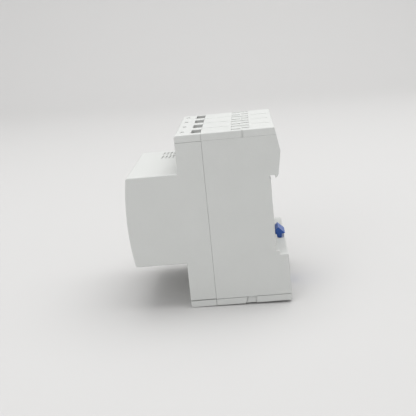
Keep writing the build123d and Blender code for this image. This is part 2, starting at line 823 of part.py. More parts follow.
def contact_deck():
    top, bottom = inner_top - deck_fit, inner_bottom + deck_fit
    half = inner_half_width - deck_fit
    with BuildPart() as deck:
        block((-half, half), (deck_front, deck_rear), (bottom, top))
        for x in seams:
            barrier_wall(x, top)
            barrier_wall(x, bottom)
        for x, z in post_points:
            rod(x, z, post_radius, (post_nose, deck_front + 0.1))
            rod(x, z, screw_hole, (post_nose - 1, deck_rear + 1), Mode.SUBTRACT)
        # Cups for the return springs, and the openings of the deck.
        for x in (-cup_x, cup_x):
            rod(x, 0, cup_radius + cup_wall, (deck_rear - 0.1, cup_floor + cup_wall))
            rod(x, 0, cup_radius, (deck_front - 1, cup_floor), Mode.SUBTRACT)
        block((-core_half - slot_fit, core_half + slot_fit), (deck_front - 1, deck_rear + 0.2),
              (-carrier_slot, carrier_slot), Mode.SUBTRACT)
        for x in poles:
            for axis_z in (line_axis, load_axis):
                reach = clamp_length / 2 + 0.2
                block((x - clamp_half - 0.2, x + clamp_half + 0.2), (deck_front - 0.1, deck_rear + 1),
                      (axis_z - reach, axis_z + reach), Mode.SUBTRACT)
        for x in lead_runs.values():
            block((x - lead_thickness, x + lead_thickness), (deck_front - 1, deck_rear + 1),
                  (lead_low - 0.4, lead_high + 0.4), Mode.SUBTRACT)
    deck.part.label = "contact_deck"
    export_step(deck.part, "parts/contact_deck.step")


# ------------------------------------------------------------------ moving system
def contact_carrier():
    pin_cut = core_half_stack + cheek_gap + cheek_thick + 1
    with BuildPart() as carrier:
        block((-carrier_half, carrier_half), (carrier_front, rail_bar_rear), (-carrier_half_z, carrier_half_z))
        # One window for each bridge and its spring, open above and below.
        for x in poles:
            block((x - window_half, x + window_half), (spring_seat, rail_bar_front),
                  (-carrier_half_z - 1, carrier_half_z + 1), Mode.SUBTRACT)
        # Open bays between the windows, bridged by a bar in front.
        bay = pole_pitch / 2 - window_half - cheek
        for x in seams:
            block((x - bay, x + bay), (carrier_front - 1, rail_bar_front - 0.4),
                  (-carrier_half_z - 1, carrier_half_z + 1), Mode.SUBTRACT)
        block((-carrier_half, carrier_half), (carrier_front, spring_seat), (-stem_half_z, stem_half_z))
        # Tail and cheeks that hold the armature by its pin.
        inner = core_half_stack + cheek_gap
        block((-7.0, 7.0), (rail_bar_rear - 0.1, tail_rear), (-carrier_half_z, carrier_half_z))
        for side in (-1, 1):
            block((-4.0, 4.0), (rail_bar_rear + 0.8, tail_rear),
                  (side * (carrier_half_z - 0.5), side * (inner + cheek_thick)))
            block((-4.0, 4.0), (tail_rear - 0.1, armature_yoke_face - 0.1),
                  (side * inner, side * (inner + cheek_thick)))
        upright(0, pin_y, pin_radius + pin_fit, (-pin_cut, pin_cut), Mode.SUBTRACT)
        # Stem for the indicator flag, and pegs for the return springs.
        block((-stem_half, stem_half), (flag_rear - 1.5, carrier_front + 0.1), (-stem_half_z, stem_half_z))
        for x in (-cup_x, cup_x):
            rod(x, 0, return_radius - return_wire - 0.4, (rail_bar_rear - 0.1, rail_bar_rear + 1.4))
    carrier.part.label = "contact_carrier"
    export_step(carrier.part, "parts/contact_carrier.step")


def indicator_flag():
    with BuildPart() as flag:
        block((-flag_half_x, flag_half_x), (flag_front, flag_rear), (-flag_half_z, flag_half_z))
        fillet(flag.edges().filter_by(Axis.Y), 0.6)
        block((-stem_half - 0.05, stem_half + 0.05), (flag_rear - 1.6, flag_rear + 1),
              (-stem_half_z - 0.05, stem_half_z + 0.05), Mode.SUBTRACT)
    flag.part.label = "indicator_flag"
    export_step(flag.part, "parts/indicator_flag.step")


def contact_bridge(x, name):
    with BuildPart() as bridge:
        block((x - bridge_half_width, x + bridge_half_width), (bridge_front, bridge_rear),
              (-bridge_reach, bridge_reach))
        fillet(bridge.edges().filter_by(Axis.Y), 1.2)
        for z in (-tip_height, tip_height):
            rod(x, z, tip_radius, (bridge_rear - 0.05, bridge_rear + bridge_tip))
        rod(x, 0, contact_spring_radius - contact_wire - 0.35, (bridge_front - 0.9, bridge_front + 0.05))
    bridge.part.label = name
    export_step(bridge.part, f"parts/{name}.step")


def contact_spring(x, name):
    with BuildPart() as spring:
        wound_wire((x, spring_seat + seat_gap, 0), (0, 1, 0), contact_spring_radius, contact_wire,
                   contact_spring_length, contact_turns)
    spring.part.label = name
    export_step(spring.part, f"parts/{name}.step")


def return_springs():
    length = cup_floor - rail_bar_rear - 2 * seat_gap
    with BuildPart() as springs:
        for x in (-cup_x, cup_x):
            wound_wire((x, rail_bar_rear + seat_gap, 0), (0, 1, 0), return_radius, return_wire, length,
                       return_turns)
    springs.part.label = "return_springs"
    export_step(springs.part, "parts/return_springs.step")


# ------------------------------------------------------------------ magnet
def e_shape(rear, face, legs_end):
    """Three legs standing forward or back from a yoke, in the active part."""
    z = (-core_half_stack, core_half_stack)
    block((-core_half, core_half), (rear, face), z)
    block((-leg_half, leg_half), (face, legs_end), z)
    for side in (-1, 1):
        block((side * (core_half - outer_leg), side * core_half), (face, legs_end), z)


def fixed_core():
    half = ring_wire / 2 + ring_fit
    with BuildPart() as core:
        e_shape(core_rear, core_yoke_face, core_face)
        # Grooves across the outer pole faces for the shading rings.
        for side in (-1, 1):
            for x in ring_x:
                block((side * x - half, side * x + half), (core_face - 1, core_face + ring_depth + ring_fit),
                      (-core_half_stack - 1, core_half_stack + 1), Mode.SUBTRACT)
        fillet(near(core.edges().filter_by(Axis.Z), Axis.Y, core_rear), 1.0)
    core.part.label = "fixed_core"
    export_step(core.part, "parts/fixed_core.step")


def shading_rings():
    """Copper loops set into the two outer pole faces."""
    half = ring_wire / 2
    inner_z = core_half_stack + ring_fit
    with BuildPart() as rings:
        for side in (-1, 1):
            block((side * (ring_x[0] - half), side * (ring_x[1] + half)),
                  (core_face + ring_fit, core_face + ring_depth), (-inner_z - ring_wire, inner_z + ring_wire))
            block((side * (ring_x[0] + half), side * (ring_x[1] - half)), (core_face - 1, core_face + ring_depth + 1),
                  (-inner_z, inner_z), Mode.SUBTRACT)
    rings.part.label = "shading_rings"
    export_step(rings.part, "parts/shading_rings.step")


def armature():
    pin_cut = core_half_stack + 1
    with BuildPart() as moving:
        e_shape(armature_front, armature_yoke_face, armature_face)
        upright(0, pin_y, pin_radius + pin_fit, (-pin_cut, pin_cut), Mode.SUBTRACT)
        fillet(near(moving.edges().filter_by(Axis.Z), Axis.Y, armature_front), 1.0)
    moving.part.label = "armature"
    export_step(moving.part, "parts/armature.step")


def armature_pin():
    reach = core_half_stack + cheek_gap + cheek_thick - 0.1
    with BuildPart() as pin:
        upright(0, pin_y, pin_radius, (-reach, reach))
        chamfer(pin.edges().filter_by(GeomType.CIRCLE), 0.2)
    pin.part.label = "armature_pin"
    export_step(pin.part, "parts/armature_pin.step")


def core_pad():
    with BuildPart() as pad:
        block((-core_half, core_half), (core_rear + 0.02, rear_inner - 0.02), (-core_half_stack, core_half_stack))
    pad.part.label = "core_pad"
    export_step(pad.part, "parts/core_pad.step")


def coil_bobbin():
    with BuildPart() as bobbin:
        block((-tube_x, tube_x), (bobbin_front, bobbin_rear), (-tube_z, tube_z))
        for y in (bobbin_front, bobbin_rear - bobbin_flange):
            block((-flange_half_x, flange_half_x), (y, y + bobbin_flange), (-flange_half_z, flange_half_z))
        # Ledges that carry the ends of the coil leads.
        for end in lead_ends.values():
            block((-flange_half_x, -flange_half_x + 4), (end + 0.05, end + 0.05 + bobbin_flange),
                  (lead_low, -flange_half_z + 0.1))
        block((-tube_hole_x, tube_hole_x), (bobbin_front - 1, bobbin_rear + 1), (-tube_hole_z, tube_hole_z),
              Mode.SUBTRACT)
    bobbin.part.label = "coil_bobbin"
    export_step(bobbin.part, "parts/coil_bobbin.step")


def coil_winding():
    with BuildPart() as winding:
        y = (bobbin_front + bobbin_flange + 0.05, bobbin_rear - bobbin_flange - 0.05)
        block((-coil_half_x, coil_half_x), y, (-coil_half_z, coil_half_z))
        fillet(winding.edges().filter_by(Axis.Y), winding_round)
        block((-tube_x - 0.05, tube_x + 0.05), (y[0] - 1, y[1] + 1), (-tube_z - 0.05, tube_z + 0.05),
              Mode.SUBTRACT)
    winding.part.label = "coil_winding"
    export_step(winding.part, "parts/coil_winding.step")


# ------------------------------------------------------------------ coil terminals
def coil_clamp_boxes():
    z = (coil_axis - coil_clamp_length / 2, coil_axis + coil_clamp_length / 2)
    inner = coil_clamp_half - coil_wall
    with BuildPart() as boxes:
        for x in coil_poles.values():
            block((x - coil_clamp_half, x + coil_clamp_half), (coil_clamp_front, coil_clamp_rear), z)
            block((x - inner, x + inner), (coil_clamp_front + coil_top_block, coil_clamp_rear - coil_floor),
                  (z[0] - 1, z[1] + 1), Mode.SUBTRACT)
            rod(x, coil_axis, coil_screw_radius + screw_clearance,
                (coil_clamp_front - 1, coil_clamp_front + coil_top_block + 1), Mode.SUBTRACT)
    boxes.part.label = "coil_clamp_boxes"
    export_step(boxes.part, "parts/coil_clamp_boxes.step")


def coil_saddle_plate(x, name):
    half = coil_clamp_half - coil_wall - 0.2
    with BuildPart() as saddle:
        block((x - half, x + half), (coil_entry_front - coil_saddle, coil_entry_front),
              (coil_axis - 2.9, coil_axis + 2.9))
        fillet(saddle.edges().filter_by(Axis.Y), 0.6)
    saddle.part.label = name
    export_step(saddle.part, f"parts/{name}.step")


def coil_leads():
    """Strips from the coil clamps back to the bobbin, past the contacts."""
    half = coil_clamp_half - coil_wall - 0.15
    cross = coil_clamp_rear + 0.25
    thick = lead_thickness
    with BuildPart() as leads:
        for name, x in coil_poles.items():
            run, end = lead_runs[name], lead_ends[name]
            outward = 1 if run > x else -1
            block((x - half, x + half), (coil_plate_front, coil_plate_front + coil_plate),
                  (lead_low, coil_axis + 3.2))
            block((x - half, x + half), (coil_plate_front, cross + thick),
                  (lead_low, coil_axis - coil_clamp_length / 2 - 0.2))
            block((x - outward * half, run + outward * thick / 2), (cross, cross + thick), (lead_low, lead_high))
            block((run - thick / 2, run + thick / 2), (cross, end), (lead_low, lead_high))
            block((run - thick / 2, -flange_half_x + 3), (end - thick, end), (lead_low, lead_high))
    leads.part.label = "coil_leads"
    export_step(leads.part, "parts/coil_leads.step")


# ------------------------------------------------------------------ rear screws
def housing_screws():
    """Long screws from the rear, through the deck and into the nose."""
    head_front = -head_sink + 0.05
    head_rear = head_front + head_height
    with BuildPart() as screws:
        for x, z in post_points:
            rod(x, z, head_radius, (head_front, head_rear))
            rod(x, z, shank_radius, (post_nose - 0.05, head_front + 0.05))
            rod(x, z, pilot_radius - 0.03, (post_nose - 8, post_nose))
            block((x - 1.6, x + 1.6), (head_rear - 0.8, head_rear + 1), (z - 0.3, z + 0.3), Mode.SUBTRACT)
            block((x - 0.3, x + 0.3), (head_rear - 0.8, head_rear + 1), (z - 1.6, z + 1.6), Mode.SUBTRACT)
    screws.part.label = "housing_screws"
    export_step(screws.part, "parts/housing_screws.step")


base_housing()
front_cover()
label_plate()
indicator_window()
top_entry_strip()
top_middle_strip()
top_rear_strip()
bottom_entry_strip()
bottom_middle_strip()
bottom_rear_strip()
rail_latch()
latch_spring()
clamp_boxes(line_axis, "line_clamp_boxes")
clamp_boxes(load_axis, "load_clamp_boxes")
fixed_contacts(1, "line_contacts")
fixed_contacts(-1, "load_contacts")
for number, pole in enumerate(poles, 1):
    clamp_screw(pole, line_axis, screw_radius, screw_front, screw_length, f"line_screw_{number}")
    clamp_screw(pole, load_axis, screw_radius, screw_front, screw_length, f"load_screw_{number}")
    saddle_plate(pole, f"line_saddle_{number}")
    saddle_plate(pole, f"load_saddle_{number}")
    contact_bridge(pole, f"contact_bridge_{number}")
    contact_spring(pole, f"contact_spring_{number}")
contact_deck()
contact_carrier()
indicator_flag()
return_springs()
fixed_core()
shading_rings()
armature()
armature_pin()
core_pad()
coil_bobbin()
coil_winding()
coil_clamp_boxes()
for terminal, pole in coil_poles.items():
    clamp_screw(pole, coil_axis, coil_screw_radius, coil_screw_front, coil_screw_length,
                f"coil_screw_{terminal}")
    coil_saddle_plate(pole, f"coil_saddle_{terminal}")
coil_leads()
housing_screws()
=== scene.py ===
# %% [markdown]
# # A four-pole DIN rail contactor
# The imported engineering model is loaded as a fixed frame. Each cell below adds one thing to it:
# a camera, the light, a finish, or a piece whose shape is finer than the frame's own.
# %% Load the frame
import json
import math

import bmesh
import bpy
from mathutils import Matrix, Vector


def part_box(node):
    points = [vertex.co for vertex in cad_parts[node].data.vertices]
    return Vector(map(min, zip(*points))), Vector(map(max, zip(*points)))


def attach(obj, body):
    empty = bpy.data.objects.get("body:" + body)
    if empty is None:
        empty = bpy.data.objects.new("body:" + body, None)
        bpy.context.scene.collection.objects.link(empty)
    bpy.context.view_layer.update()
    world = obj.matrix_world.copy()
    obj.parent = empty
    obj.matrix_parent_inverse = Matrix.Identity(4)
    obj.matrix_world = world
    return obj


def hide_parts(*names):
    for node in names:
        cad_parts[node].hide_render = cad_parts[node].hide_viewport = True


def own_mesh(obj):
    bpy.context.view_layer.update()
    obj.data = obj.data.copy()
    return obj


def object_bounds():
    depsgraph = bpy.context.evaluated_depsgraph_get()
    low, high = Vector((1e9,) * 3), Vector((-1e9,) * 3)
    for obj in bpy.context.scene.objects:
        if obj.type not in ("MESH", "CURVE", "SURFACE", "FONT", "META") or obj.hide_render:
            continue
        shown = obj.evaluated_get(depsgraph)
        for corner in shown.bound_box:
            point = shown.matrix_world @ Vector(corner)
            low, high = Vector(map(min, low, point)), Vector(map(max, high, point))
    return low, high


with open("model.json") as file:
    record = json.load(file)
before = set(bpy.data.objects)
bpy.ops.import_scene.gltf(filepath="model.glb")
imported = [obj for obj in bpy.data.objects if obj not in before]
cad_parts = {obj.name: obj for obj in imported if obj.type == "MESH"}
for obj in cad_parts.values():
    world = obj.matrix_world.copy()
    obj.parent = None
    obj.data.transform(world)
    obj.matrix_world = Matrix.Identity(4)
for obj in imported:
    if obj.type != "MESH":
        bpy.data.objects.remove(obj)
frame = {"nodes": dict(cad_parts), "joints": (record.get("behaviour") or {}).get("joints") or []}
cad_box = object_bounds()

MM = 0.001
nodes = frame["nodes"]
size_mm = [round((b - a) / MM, 1) for a, b in zip(*cad_box)]
print("frame box in mm:", size_mm, "pieces:", len(nodes))

# %% [markdown]
# ## Camera
# The contactor stands on its end strips and is seen from its right side, a little from above.
# A 70 mm lens about 0.43 m away gives the mild perspective of a catalogue picture.
# The camera's own three directions are written out, because it is rolled slightly as well as tilted.
# %% Place the camera
CAMERA_AT = Vector((415.4, -9.0, 95.5)) * MM
RIGHT = Vector((-0.0355, 0.9948, -0.0957))
UP = Vector((-0.2367, 0.0847, 0.9679))
BACK = RIGHT.cross(UP).normalized()

camera_data = bpy.data.cameras.new("camera")
camera_data.lens = 70.0
camera_data.sensor_width = 36.0
camera_data.clip_start = 0.01
camera = bpy.data.objects.new("camera", camera_data)
bpy.context.scene.collection.objects.link(camera)
turn = Matrix((RIGHT, UP, BACK)).transposed()
camera.matrix_world = Matrix.Translation(CAMERA_AT) @ turn.to_4x4()
bpy.context.scene.camera = camera
print("camera looks along", [round(-v, 3) for v in BACK])

# %% [markdown]
# ## Helpers for shapes
# Every new piece starts as a bmesh. These helpers turn one into an object at the origin, so that
# its place is in its mesh, and move or turn the vertices that an operator has just made.
# %% Shape helpers
def make_piece(name, mesh, body, smooth=40):
    """Finishes a bmesh as an object that rides on a body."""
    bmesh.ops.remove_doubles(mesh, verts=mesh.verts, dist=2e-6)
    bmesh.ops.recalc_face_normals(mesh, faces=mesh.faces)
    data = bpy.data.meshes.new(name)
    mesh.to_mesh(data)
    mesh.free()
    data.shade_smooth()
    data.set_sharp_from_angle(angle=math.radians(smooth))
    piece = bpy.data.objects.new(name, data)
    bpy.context.scene.collection.objects.link(piece)
    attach(piece, body)
    print(name, len(data.polygons), "faces")
    return piece


def shift(mesh, verts, move):
    bmesh.ops.translate(mesh, verts=verts, vec=Vector(move))


def verts_of(edges_and_verts):
    return [g for g in edges_and_verts if isinstance(g, bmesh.types.BMVert)]


def turned(mesh, profile, steps, centre):
    """A profile of (radius, along) points in millimetres spun about an axis along Y."""
    points = [mesh.verts.new((centre[0] + r * MM, centre[1] + a * MM, centre[2])) for r, a in profile]
    edges = [mesh.edges.new(pair) for pair in zip(points, points[1:])]
    bmesh.ops.spin(mesh, geom=points + edges, cent=centre, axis=(0, 1, 0), dvec=(0, 0, 0),
                   angle=2 * math.pi, steps=steps, use_merge=True, use_duplicate=False)


CLOSED_TURNS = 0.75  # at each end of a spring, lying flat on its seat
WIRE_SIDES, STEPS_PER_TURN = 10, 28


def wound(mesh, centre, axis, radius, wire, length, turns):
    """A coil spring: a small ring of wire spun about an axis while it moves along it."""
    axis = Vector(axis)
    across = axis.orthogonal().normalized()
    ring_turn = Matrix((across, axis, across.cross(axis))).transposed().to_4x4()
    closed_climb = 2 * wire * CLOSED_TURNS
    start = Vector(centre) + axis * wire * MM
    place = Matrix.Translation(start + across * radius * MM) @ ring_turn
    ring = bmesh.ops.create_circle(mesh, cap_ends=False, segments=WIRE_SIDES, radius=wire * MM, matrix=place)
    geom = ring["verts"] + list({e for v in ring["verts"] for e in v.link_edges})
    sections = [
        (CLOSED_TURNS, closed_climb),
        (turns - 2 * CLOSED_TURNS, length - 2 * wire - 2 * closed_climb),
        (CLOSED_TURNS, closed_climb),
    ]
    for count, climb in sections:
        n = int(count * STEPS_PER_TURN)
        made = bmesh.ops.spin(mesh, geom=geom, cent=start, axis=axis, dvec=axis * (climb * MM / n),
                              angle=2 * math.pi * count, steps=n, use_merge=False, use_duplicate=False)
        geom = made["geom_last"]
        start = start + axis * climb * MM
    ends = [e for e in mesh.edges if len(e.link_faces) == 1]
    bmesh.ops.holes_fill(mesh, edges=ends, sides=0)


# %% [markdown]
# ## Shader helpers
# The moulded plastics share a few effects, so each is a node group with its own inputs.
# A group gives out only masks, colours and normals. The shader stays in the material.
# %% Node helpers
def new_group(name, inputs, outputs):
    group = bpy.data.node_groups.new(name, "ShaderNodeTree")
    for label, kind, value in inputs:
        socket = group.interface.new_socket(name=label, in_out="INPUT", socket_type=kind)
        if value is not None:
            socket.default_value = value
    for label, kind in outputs:
        group.interface.new_socket(name=label, in_out="OUTPUT", socket_type=kind)
    return group, group.nodes.new("NodeGroupInput"), group.nodes.new("NodeGroupOutput")


def add(tree, kind, links=(), **values):
    """A node with its values set and its inputs linked."""
    node = tree.nodes.new(kind)
    for key, value in values.items():
        setattr(node, key, value)
    for socket, source in links:
        if hasattr(source, "is_output"):
            tree.links.new(source, node.inputs[socket])
        else:
            node.inputs[socket].default_value = source
    return node


# %% [markdown]
# ## Spark-eroded plastic
# A modular housing is moulded in a steel tool whose walls were eroded by sparks, which leaves a
# fine, even, slightly crystalline grain. Two noises of different size make its height, and a slow
# one makes the faint flow marks and the handling that every moulding has.
# %% Group: moulded grain
grain_group, gin, gout = new_group(
    "moulded_grain",
    [("Grain size", "NodeSocketFloat", 5200.0), ("Depth", "NodeSocketFloat", 0.2)],
    [("Normal", "NodeSocketVector"), ("Mottle", "NodeSocketFloat"), ("Speck", "NodeSocketFloat")],
)
where = add(grain_group, "ShaderNodeTexCoord")
fine = add(grain_group, "ShaderNodeTexNoise", [("Vector", where.outputs["Object"]),
                                               ("Scale", gin.outputs["Grain size"]), ("Detail", 3.0),
                                               ("Roughness", 0.65)])
pits = add(grain_group, "ShaderNodeTexVoronoi", [("Vector", where.outputs["Object"]),
                                                 ("Scale", gin.outputs["Grain size"])])
slow = add(grain_group, "ShaderNodeTexNoise", [("Vector", where.outputs["Object"]), ("Scale", 62.0),
                                               ("Detail", 4.0), ("Roughness", 0.6)])
height = add(grain_group, "ShaderNodeMath", [(0, fine.outputs["Fac"]), (1, pits.outputs["Distance"])],
             operation="ADD")
bump = add(grain_group, "ShaderNodeBump", [("Height", height.outputs[0]), ("Strength", gin.outputs["Depth"]),
                                           ("Distance", 0.00004)])
grain_group.links.new(bump.outputs["Normal"], gout.inputs["Normal"])
grain_group.links.new(slow.outputs["Fac"], gout.inputs["Mottle"])
grain_group.links.new(fine.outputs["Fac"], gout.inputs["Speck"])

# %% [markdown]
# ## Painted edge highlights
# The colour is painted a touch lighter along edges and in inner corners, a painted highlight where rounded
# edges catch the light.
# An edge is found where the surface's own normal differs from the rounded one of a Bevel node.
# The Pointiness value could find it too, but that needs a dense mesh.
# %% Group: edge mask
edge_highlight_group, gin, gout = new_group(
    "edge_highlight",
    [("Width", "NodeSocketFloat", 0.0005)],
    [("Mask", "NodeSocketFloat")],
)
rounded = add(edge_highlight_group, "ShaderNodeBevel", [("Radius", gin.outputs["Width"])], samples=6)
plain = add(edge_highlight_group, "ShaderNodeNewGeometry")
match = add(edge_highlight_group, "ShaderNodeVectorMath", [(0, rounded.outputs[0]), (1, plain.outputs["True Normal"])],
            operation="DOT_PRODUCT")
highlight_ramp = add(edge_highlight_group, "ShaderNodeMapRange", [("Value", match.outputs["Value"]), ("From Min", 0.995),
                                             ("From Max", 0.80), ("To Min", 0.0), ("To Max", 1.0)])
coords = add(edge_highlight_group, "ShaderNodeTexCoord")
broken = add(edge_highlight_group, "ShaderNodeTexNoise", [("Vector", coords.outputs["Object"]), ("Scale", 900.0),
                                                ("Detail", 3.0)])
uneven = add(edge_highlight_group, "ShaderNodeMath", [(0, highlight_ramp.outputs[0]), (1, broken.outputs["Fac"])],
             operation="MULTIPLY")
edge_highlight_group.links.new(uneven.outputs[0], gout.inputs["Mask"])


# %% [markdown]
# ## Plastics
# One maker function serves all the mouldings. Each takes its own colour, grain and gloss.
# The colour varies by only a few percent, since a clean moulding is nearly even.
# %% Moulded plastic
def moulded(name, colour, roughness=0.55, grain=5200.0, depth=0.2, spread=0.035, highlight_share=0.12, width=0.0005):
    material = bpy.data.materials.new(name)
    material.use_nodes = True
    tree = material.node_tree
    shader = tree.nodes["Principled BSDF"]
    surface = add(tree, "ShaderNodeGroup", node_tree=grain_group)
    surface.inputs["Grain size"].default_value = grain
    surface.inputs["Depth"].default_value = depth
    edge = add(tree, "ShaderNodeGroup", node_tree=edge_highlight_group)
    edge.inputs["Width"].default_value = width
    dark = tuple(c * (1 - spread) for c in colour)
    light = tuple(min(1.0, c * (1 + spread)) for c in colour)
    body = add(tree, "ShaderNodeMix", [(0, surface.outputs["Mottle"]), (6, (*dark, 1)), (7, (*light, 1))],
               data_type="RGBA")
    specks = add(tree, "ShaderNodeMapRange", [("Value", surface.outputs["Speck"]), ("From Min", 0.35),
                                              ("From Max", 0.65), ("To Min", 0.97), ("To Max", 1.02)])
    tinted = add(tree, "ShaderNodeMix", [(0, 1.0), (6, body.outputs[2]), (7, specks.outputs[0])],
                 data_type="RGBA", blend_type="MULTIPLY")
    # Painted highlight: the colour is lightened along edges and in inner corners by the edge mask.
    highlight_colour = tuple(min(1.0, c * 1.12 + 0.02) for c in colour)
    highlight_amount = add(tree, "ShaderNodeMath", [(0, edge.outputs["Mask"]), (1, highlight_share * 2)], operation="MULTIPLY")
    final = add(tree, "ShaderNodeMix", [(0, highlight_amount.outputs[0]), (6, tinted.outputs[2]), (7, (*highlight_colour, 1))],
                data_type="RGBA")
    gloss = add(tree, "ShaderNodeMapRange", [("Value", surface.outputs["Mottle"]), ("From Min", 0.3),
                                             ("From Max", 0.7), ("To Min", roughness - 0.05),
                                             ("To Max", roughness + 0.05)])
    tree.links.new(final.outputs[2], shader.inputs["Base Color"])
    tree.links.new(gloss.outputs[0], shader.inputs["Roughness"])
    tree.links.new(surface.outputs["Normal"], shader.inputs["Normal"])
    shader.inputs["Specular IOR Level"].default_value = 0.4
    return material


housing_grey = moulded("housing_grey", (0.560, 0.568, 0.552), roughness=0.56)
latch_blue = moulded("latch_blue", (0.028, 0.098, 0.385), roughness=0.30, depth=0.06, spread=0.06)
# The deck and the carrier get a stronger painted edge highlight.
deck_black = moulded("deck_black", (0.022, 0.022, 0.024), roughness=0.5, highlight_share=0.3)
carrier_brown = moulded("carrier_brown", (0.085, 0.036, 0.018), roughness=0.45, grain=3200, highlight_share=0.25)
bobbin_cream = moulded("bobbin_cream", (0.52, 0.46, 0.34), roughness=0.42, depth=0.06)
flag_red = moulded("flag_red", (0.50, 0.025, 0.015), roughness=0.35, depth=0.05)
pad_rubber = moulded("pad_rubber", (0.012, 0.012, 0.012), roughness=0.8, grain=2500, depth=0.5)

# %% [markdown]
# ## Metals
# Zinc plate is bright but never even: it has a cloudy passivated film. Copper is warmer and its
# roughness follows the rolling direction. Both come from one function with a stretched noise.
# %% Plated and rolled metal
def metal(name, colour, film, roughness=0.3, stretch=(1.0, 1.0, 1.0), scale=700.0, depth=0.12):
    material = bpy.data.materials.new(name)
    material.use_nodes = True
    tree = material.node_tree
    shader = tree.nodes["Principled BSDF"]
    shader.inputs["Metallic"].default_value = 1.0
    where = add(tree, "ShaderNodeTexCoord")
    mapping = add(tree, "ShaderNodeMapping", [("Vector", where.outputs["Object"]), ("Scale", stretch)])
    streak = add(tree, "ShaderNodeTexNoise", [("Vector", mapping.outputs[0]), ("Scale", scale),
                                              ("Detail", 5.0), ("Roughness", 0.7)])
    cloud = add(tree, "ShaderNodeTexNoise", [("Vector", where.outputs["Object"]), ("Scale", 240.0),
                                             ("Detail", 3.0)])
    tone = add(tree, "ShaderNodeMix", [(0, cloud.outputs["Fac"]), (6, (*colour, 1)), (7, (*film, 1))],
               data_type="RGBA")
    gloss = add(tree, "ShaderNodeMapRange", [("Value", streak.outputs["Fac"]), ("From Min", 0.3),
                                             ("From Max", 0.7), ("To Min", roughness - 0.1),
                                             ("To Max", roughness + 0.12)])
    bump = add(tree, "ShaderNodeBump", [("Height", streak.outputs["Fac"]), ("Strength", depth),
                                        ("Distance", 0.00003)])
    tree.links.new(tone.outputs[2], shader.inputs["Base Color"])
    tree.links.new(gloss.outputs[0], shader.inputs["Roughness"])
    tree.links.new(bump.outputs["Normal"], shader.inputs["Normal"])
    return material


zinc_plate = metal("zinc_plate", (0.62, 0.63, 0.66), (0.72, 0.70, 0.62), roughness=0.34)
rolled_copper = metal("rolled_copper", (0.78, 0.36, 0.20), (0.66, 0.28, 0.15), roughness=0.3,
                      stretch=(8.0, 8.0, 0.6))
contact_silver = metal("contact_silver", (0.86, 0.85, 0.82), (0.72, 0.70, 0.66), roughness=0.26)
spring_wire = metal("spring_wire", (0.55, 0.55, 0.57), (0.42, 0.42, 0.44), roughness=0.25, scale=1500)


# %% [markdown]
# ## Stacked sheet steel
# The core and the armature are stacks of sheet about half a millimetre thick. A wave along Z,
# the stacking direction, draws the joints between the sheets as fine dark lines with a groove.
# %% Laminated steel
def laminated():
    material = bpy.data.materials.new("stacked_sheet")
    material.use_nodes = True
    tree = material.node_tree
    shader = tree.nodes["Principled BSDF"]
    where = add(tree, "ShaderNodeTexCoord")
    sheets = add(tree, "ShaderNodeTexWave", [("Vector", where.outputs["Object"]), ("Scale", 628.0),
                                             ("Distortion", 0.0)],
                 wave_type="BANDS", bands_direction="Z", wave_profile="SIN")
    joints = add(tree, "ShaderNodeMapRange", [("Value", sheets.outputs["Fac"]), ("From Min", 0.0),
                                              ("From Max", 0.35), ("To Min", 0.0), ("To Max", 1.0)])
    stain = add(tree, "ShaderNodeTexNoise", [("Vector", where.outputs["Object"]), ("Scale", 180.0),
                                             ("Detail", 5.0)])
    steel = add(tree, "ShaderNodeMix", [(0, stain.outputs["Fac"]), (6, (0.30, 0.30, 0.32, 1)),
                                        (7, (0.42, 0.38, 0.33, 1))], data_type="RGBA")
    lined = add(tree, "ShaderNodeMix", [(0, joints.outputs[0]), (6, (0.07, 0.06, 0.055, 1)),
                                        (7, steel.outputs[2])], data_type="RGBA")
    bump = add(tree, "ShaderNodeBump", [("Height", joints.outputs[0]), ("Strength", 0.5),
                                        ("Distance", 0.0001)])
    tree.links.new(lined.outputs[2], shader.inputs["Base Color"])
    tree.links.new(bump.outputs["Normal"], shader.inputs["Normal"])
    shader.inputs["Metallic"].default_value = 0.85
    shader.inputs["Roughness"].default_value = 0.42
    return material


stacked_sheet = laminated()


# %% [markdown]
# ## Enamelled wire, window and label
# The winding's colour varies from turn to turn. The window is clear plastic, which needs a plain
# transmission value. The label is a satin film with a faint print grain.
# %% Wire, window and label
def enamelled():
    material = bpy.data.materials.new("enamelled_wire")
    material.use_nodes = True
    tree = material.node_tree
    shader = tree.nodes["Principled BSDF"]
    where = add(tree, "ShaderNodeTexCoord")
    along = add(tree, "ShaderNodeMapping", [("Vector", where.outputs["Object"]), ("Scale", (0.4, 6.0, 0.4))])
    turns = add(tree, "ShaderNodeTexNoise", [("Vector", along.outputs[0]), ("Scale", 600.0), ("Detail", 2.0)])
    tone = add(tree, "ShaderNodeMix", [(0, turns.outputs["Fac"]), (6, (0.30, 0.07, 0.02, 1)),
                                       (7, (0.58, 0.20, 0.06, 1))], data_type="RGBA")
    tree.links.new(tone.outputs[2], shader.inputs["Base Color"])
    shader.inputs["Roughness"].default_value = 0.22
    shader.inputs["Metallic"].default_value = 0.35
    shader.inputs["Coat Weight"].default_value = 0.6
    return material


def clear_window():
    material = bpy.data.materials.new("window_clear")
    material.use_nodes = True
    tree = material.node_tree
    shader = tree.nodes["Principled BSDF"]
    where = add(tree, "ShaderNodeTexCoord")
    haze = add(tree, "ShaderNodeTexNoise", [("Vector", where.outputs["Object"]), ("Scale", 900.0)])
    gloss = add(tree, "ShaderNodeMapRange", [("Value", haze.outputs["Fac"]), ("To Min", 0.02),
                                             ("To Max", 0.1)])
    tree.links.new(gloss.outputs[0], shader.inputs["Roughness"])
    shader.inputs["Base Color"].default_value = (0.93, 0.95, 0.96, 1)
    shader.inputs["Transmission Weight"].default_value = 1.0
    shader.inputs["IOR"].default_value = 1.49
    return material


enamelled_wire = enamelled()
window_clear = clear_window()
label_film = moulded("label_film", (0.66, 0.67, 0.68), roughness=0.34, grain=9000, depth=0.04, spread=0.015)
label_ink = moulded("label_ink", (0.05, 0.06, 0.07), roughness=0.4, grain=9000, depth=0.04, spread=0.05)

